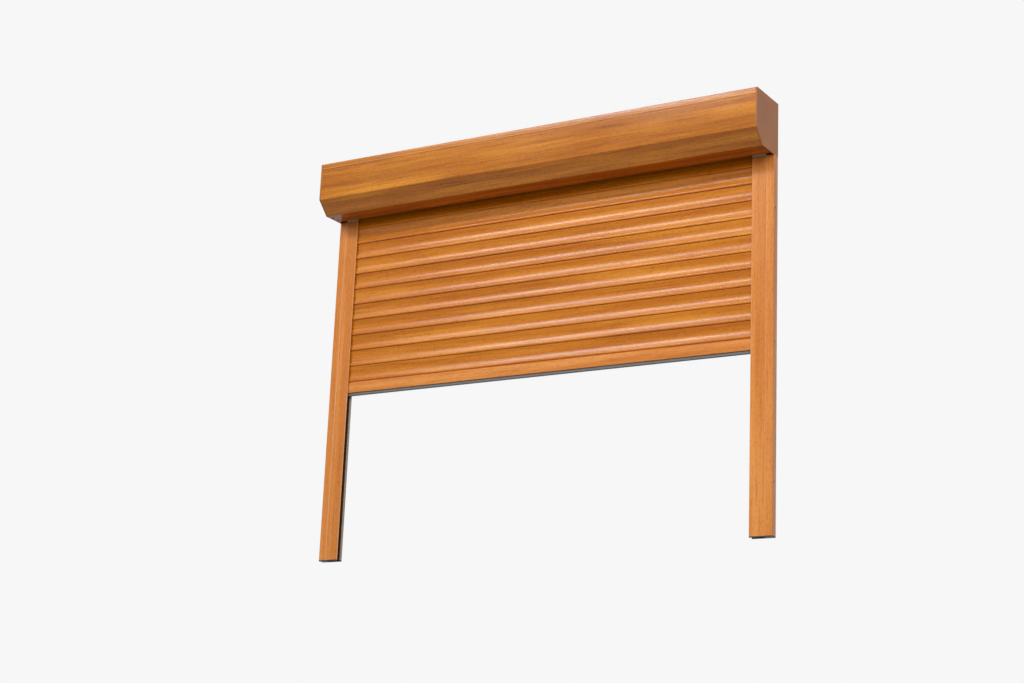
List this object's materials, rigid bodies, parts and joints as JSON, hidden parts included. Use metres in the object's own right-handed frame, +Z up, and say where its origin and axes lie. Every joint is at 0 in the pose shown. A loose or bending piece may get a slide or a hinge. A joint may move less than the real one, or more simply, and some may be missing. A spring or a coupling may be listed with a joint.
{
  "type": "roller shutter",
  "caption": "Roller shutter for a window: a box with a 45 degree lower edge, two guide rails, and a slatted curtain half lowered from a motor-driven tube.",
  "frame": {"origin": "middle of the frame's foot: centred on its width and depth, at the rails' lower ends", "axes": "+X along the box to the viewer's right from outside, +Y into the building, +Z up"},
  "size_m": [1.5, 0.146, 1.2462],
  "materials": {
    "oak_aluminium": "golden woodgrain film, semi-gloss",
    "cast_aluminium": "painted to match, semi-gloss",
    "black_rubber": "soft seal strip, matte",
    "grey_rubber": "soft seal, matte",
    "light_plastic": "moulded, matte",
    "black_plastic": "moulded, matte",
    "zinc_steel": "zinc-plated",
    "motor_steel": "painted, satin",
    "rivet_metal": "painted to match"
  },
  "bodies": {
    "frame": {"box_top_cover": "oak_aluminium", "box_front_cover": "oak_aluminium", "box_bottom_panel": "oak_aluminium", "box_rear_panel": "oak_aluminium", "cover_rivets": "rivet_metal", "end_plate_right": "cast_aluminium", "end_plate_left": "cast_aluminium", "guide_rail_right": "oak_aluminium", "guide_rail_left": "oak_aluminium", "rail_foot_plug_right": "black_plastic", "rail_foot_plug_left": "black_plastic", "entry_funnel_right": "light_plastic", "entry_funnel_left": "light_plastic", "rail_seals_right": "black_rubber", "rail_seals_left": "black_rubber", "bearing_outer_race": "zinc_steel", "bearing_balls": "zinc_steel", "bearing_holder": "zinc_steel", "holder_screws": "zinc_steel", "motor_body": "motor_steel", "motor_head": "black_plastic", "motor_bracket": "zinc_steel", "bracket_screws": "zinc_steel"},
    "tube": {"winding_tube": "zinc_steel", "curtain_links": "zinc_steel", "idler_cap": "black_plastic", "idler_pin": "zinc_steel", "bearing_inner_race": "zinc_steel", "motor_shaft": "zinc_steel", "crown": "black_plastic", "drive_wheel": "black_plastic"},
    "curtain": {"slat_01": "oak_aluminium", "slat_02": "oak_aluminium", "slat_03": "oak_aluminium", "slat_04": "oak_aluminium", "slat_05": "oak_aluminium", "slat_06": "oak_aluminium", "slat_07": "oak_aluminium", "slat_08": "oak_aluminium", "slat_09": "oak_aluminium", "slat_10": "oak_aluminium", "slat_11": "oak_aluminium", "slat_12": "oak_aluminium", "bottom_bar": "oak_aluminium", "bottom_seal": "grey_rubber", "bar_end_plugs": "black_plastic"},
    "wound_slat_01": {"wound_slat_01": "oak_aluminium"},
    "wound_slat_02": {"wound_slat_02": "oak_aluminium"},
    "wound_slat_03": {"wound_slat_03": "oak_aluminium"},
    "wound_slat_04": {"wound_slat_04": "oak_aluminium"},
    "wound_slat_05": {"wound_slat_05": "oak_aluminium"},
    "wound_slat_06": {"wound_slat_06": "oak_aluminium"},
    "wound_slat_07": {"wound_slat_07": "oak_aluminium"},
    "wound_slat_08": {"wound_slat_08": "oak_aluminium"},
    "wound_slat_09": {"wound_slat_09": "oak_aluminium"},
    "wound_slat_10": {"wound_slat_10": "oak_aluminium"},
    "wound_slat_11": {"wound_slat_11": "oak_aluminium"}
  },
  "joints": [
    {"name": "curtain_slide", "type": "slide", "parent": "frame", "child": "curtain", "axis": [0, 0, 1], "range_m": [-0.513, 0]},
    {"name": "tube_spin", "type": "hinge", "parent": "frame", "child": "tube", "pos_m": [0, -0.0043, 1.1596], "axis": [1, 0, 0], "range_deg": [-592.88, 0]},
    {"name": "hinge_01", "type": "hinge", "parent": "curtain", "child": "wound_slat_01", "pos_m": [0, 0.0562, 1.1596], "axis": [1, 0, 0], "range_deg": [-26.1, 0], "deforming": ["wound_slat_01"]},
    {"name": "hinge_02", "type": "hinge", "parent": "wound_slat_01", "child": "wound_slat_02", "pos_m": [0, 0.03421, 1.2045], "axis": [1, 0, 0], "range_deg": [-50.04, 0], "deforming": ["wound_slat_02"]},
    {"name": "hinge_03", "type": "hinge", "parent": "wound_slat_02", "child": "wound_slat_03", "pos_m": [0, -0.01433, 1.2165], "axis": [1, 0, 0], "range_deg": [-51.32, 0], "deforming": ["wound_slat_03"]},
    {"name": "hinge_04", "type": "hinge", "parent": "wound_slat_03", "child": "wound_slat_04", "pos_m": [0, -0.05404, 1.18612], "axis": [1, 0, 0], "range_deg": [-52.7, 0], "deforming": ["wound_slat_04"]},
    {"name": "hinge_05", "type": "hinge", "parent": "wound_slat_04", "child": "wound_slat_05", "pos_m": [0, -0.05393, 1.13611], "axis": [1, 0, 0], "range_deg": [-54.21, 0], "deforming": ["wound_slat_05"]},
    {"name": "hinge_06", "type": "hinge", "parent": "wound_slat_05", "child": "wound_slat_06", "pos_m": [0, -0.01332, 1.10695], "axis": [1, 0, 0], "range_deg": [-55.86, 0], "deforming": ["wound_slat_06"]},
    {"name": "hinge_07", "type": "hinge", "parent": "wound_slat_06", "child": "wound_slat_07", "pos_m": [0, 0.03361, 1.1242], "axis": [1, 0, 0], "range_deg": [-57.68, 0], "deforming": ["wound_slat_07"]},
    {"name": "hinge_08", "type": "hinge", "parent": "wound_slat_07", "child": "wound_slat_08", "pos_m": [0, 0.04414, 1.17308], "axis": [1, 0, 0], "range_deg": [-59.7, 0], "deforming": ["wound_slat_08"]},
    {"name": "hinge_09", "type": "hinge", "parent": "wound_slat_08", "child": "wound_slat_09", "pos_m": [0, 0.00725, 1.20683], "axis": [1, 0, 0], "range_deg": [-61.95, 0], "deforming": ["wound_slat_09"]},
    {"name": "hinge_10", "type": "hinge", "parent": "wound_slat_09", "child": "wound_slat_10", "pos_m": [0, -0.03989, 1.19016], "axis": [1, 0, 0], "range_deg": [-64.5, 0], "deforming": ["wound_slat_10"]},
    {"name": "hinge_11", "type": "hinge", "parent": "wound_slat_10", "child": "wound_slat_11", "pos_m": [0, -0.04514, 1.14044], "axis": [1, 0, 0], "range_deg": [-33.42, 0], "deforming": ["wound_slat_11"]}
  ],
  "couplings": [
    {"joint": "tube_spin", "follows": "curtain_slide", "rad_per_m": 20.17},
    {"joint": "hinge_01", "follows": "curtain_slide", "rad_per_m": 0.8877},
    {"joint": "hinge_02", "follows": "curtain_slide", "rad_per_m": 1.702},
    {"joint": "hinge_03", "follows": "curtain_slide", "rad_per_m": 1.7455},
    {"joint": "hinge_04", "follows": "curtain_slide", "rad_per_m": 1.7927},
    {"joint": "hinge_05", "follows": "curtain_slide", "rad_per_m": 1.8441},
    {"joint": "hinge_06", "follows": "curtain_slide", "rad_per_m": 1.9003},
    {"joint": "hinge_07", "follows": "curtain_slide", "rad_per_m": 1.9622},
    {"joint": "hinge_08", "follows": "curtain_slide", "rad_per_m": 2.0307},
    {"joint": "hinge_09", "follows": "curtain_slide", "rad_per_m": 2.1074},
    {"joint": "hinge_10", "follows": "curtain_slide", "rad_per_m": 2.1939},
    {"joint": "hinge_11", "follows": "curtain_slide", "rad_per_m": 1.1366}
  ]
}
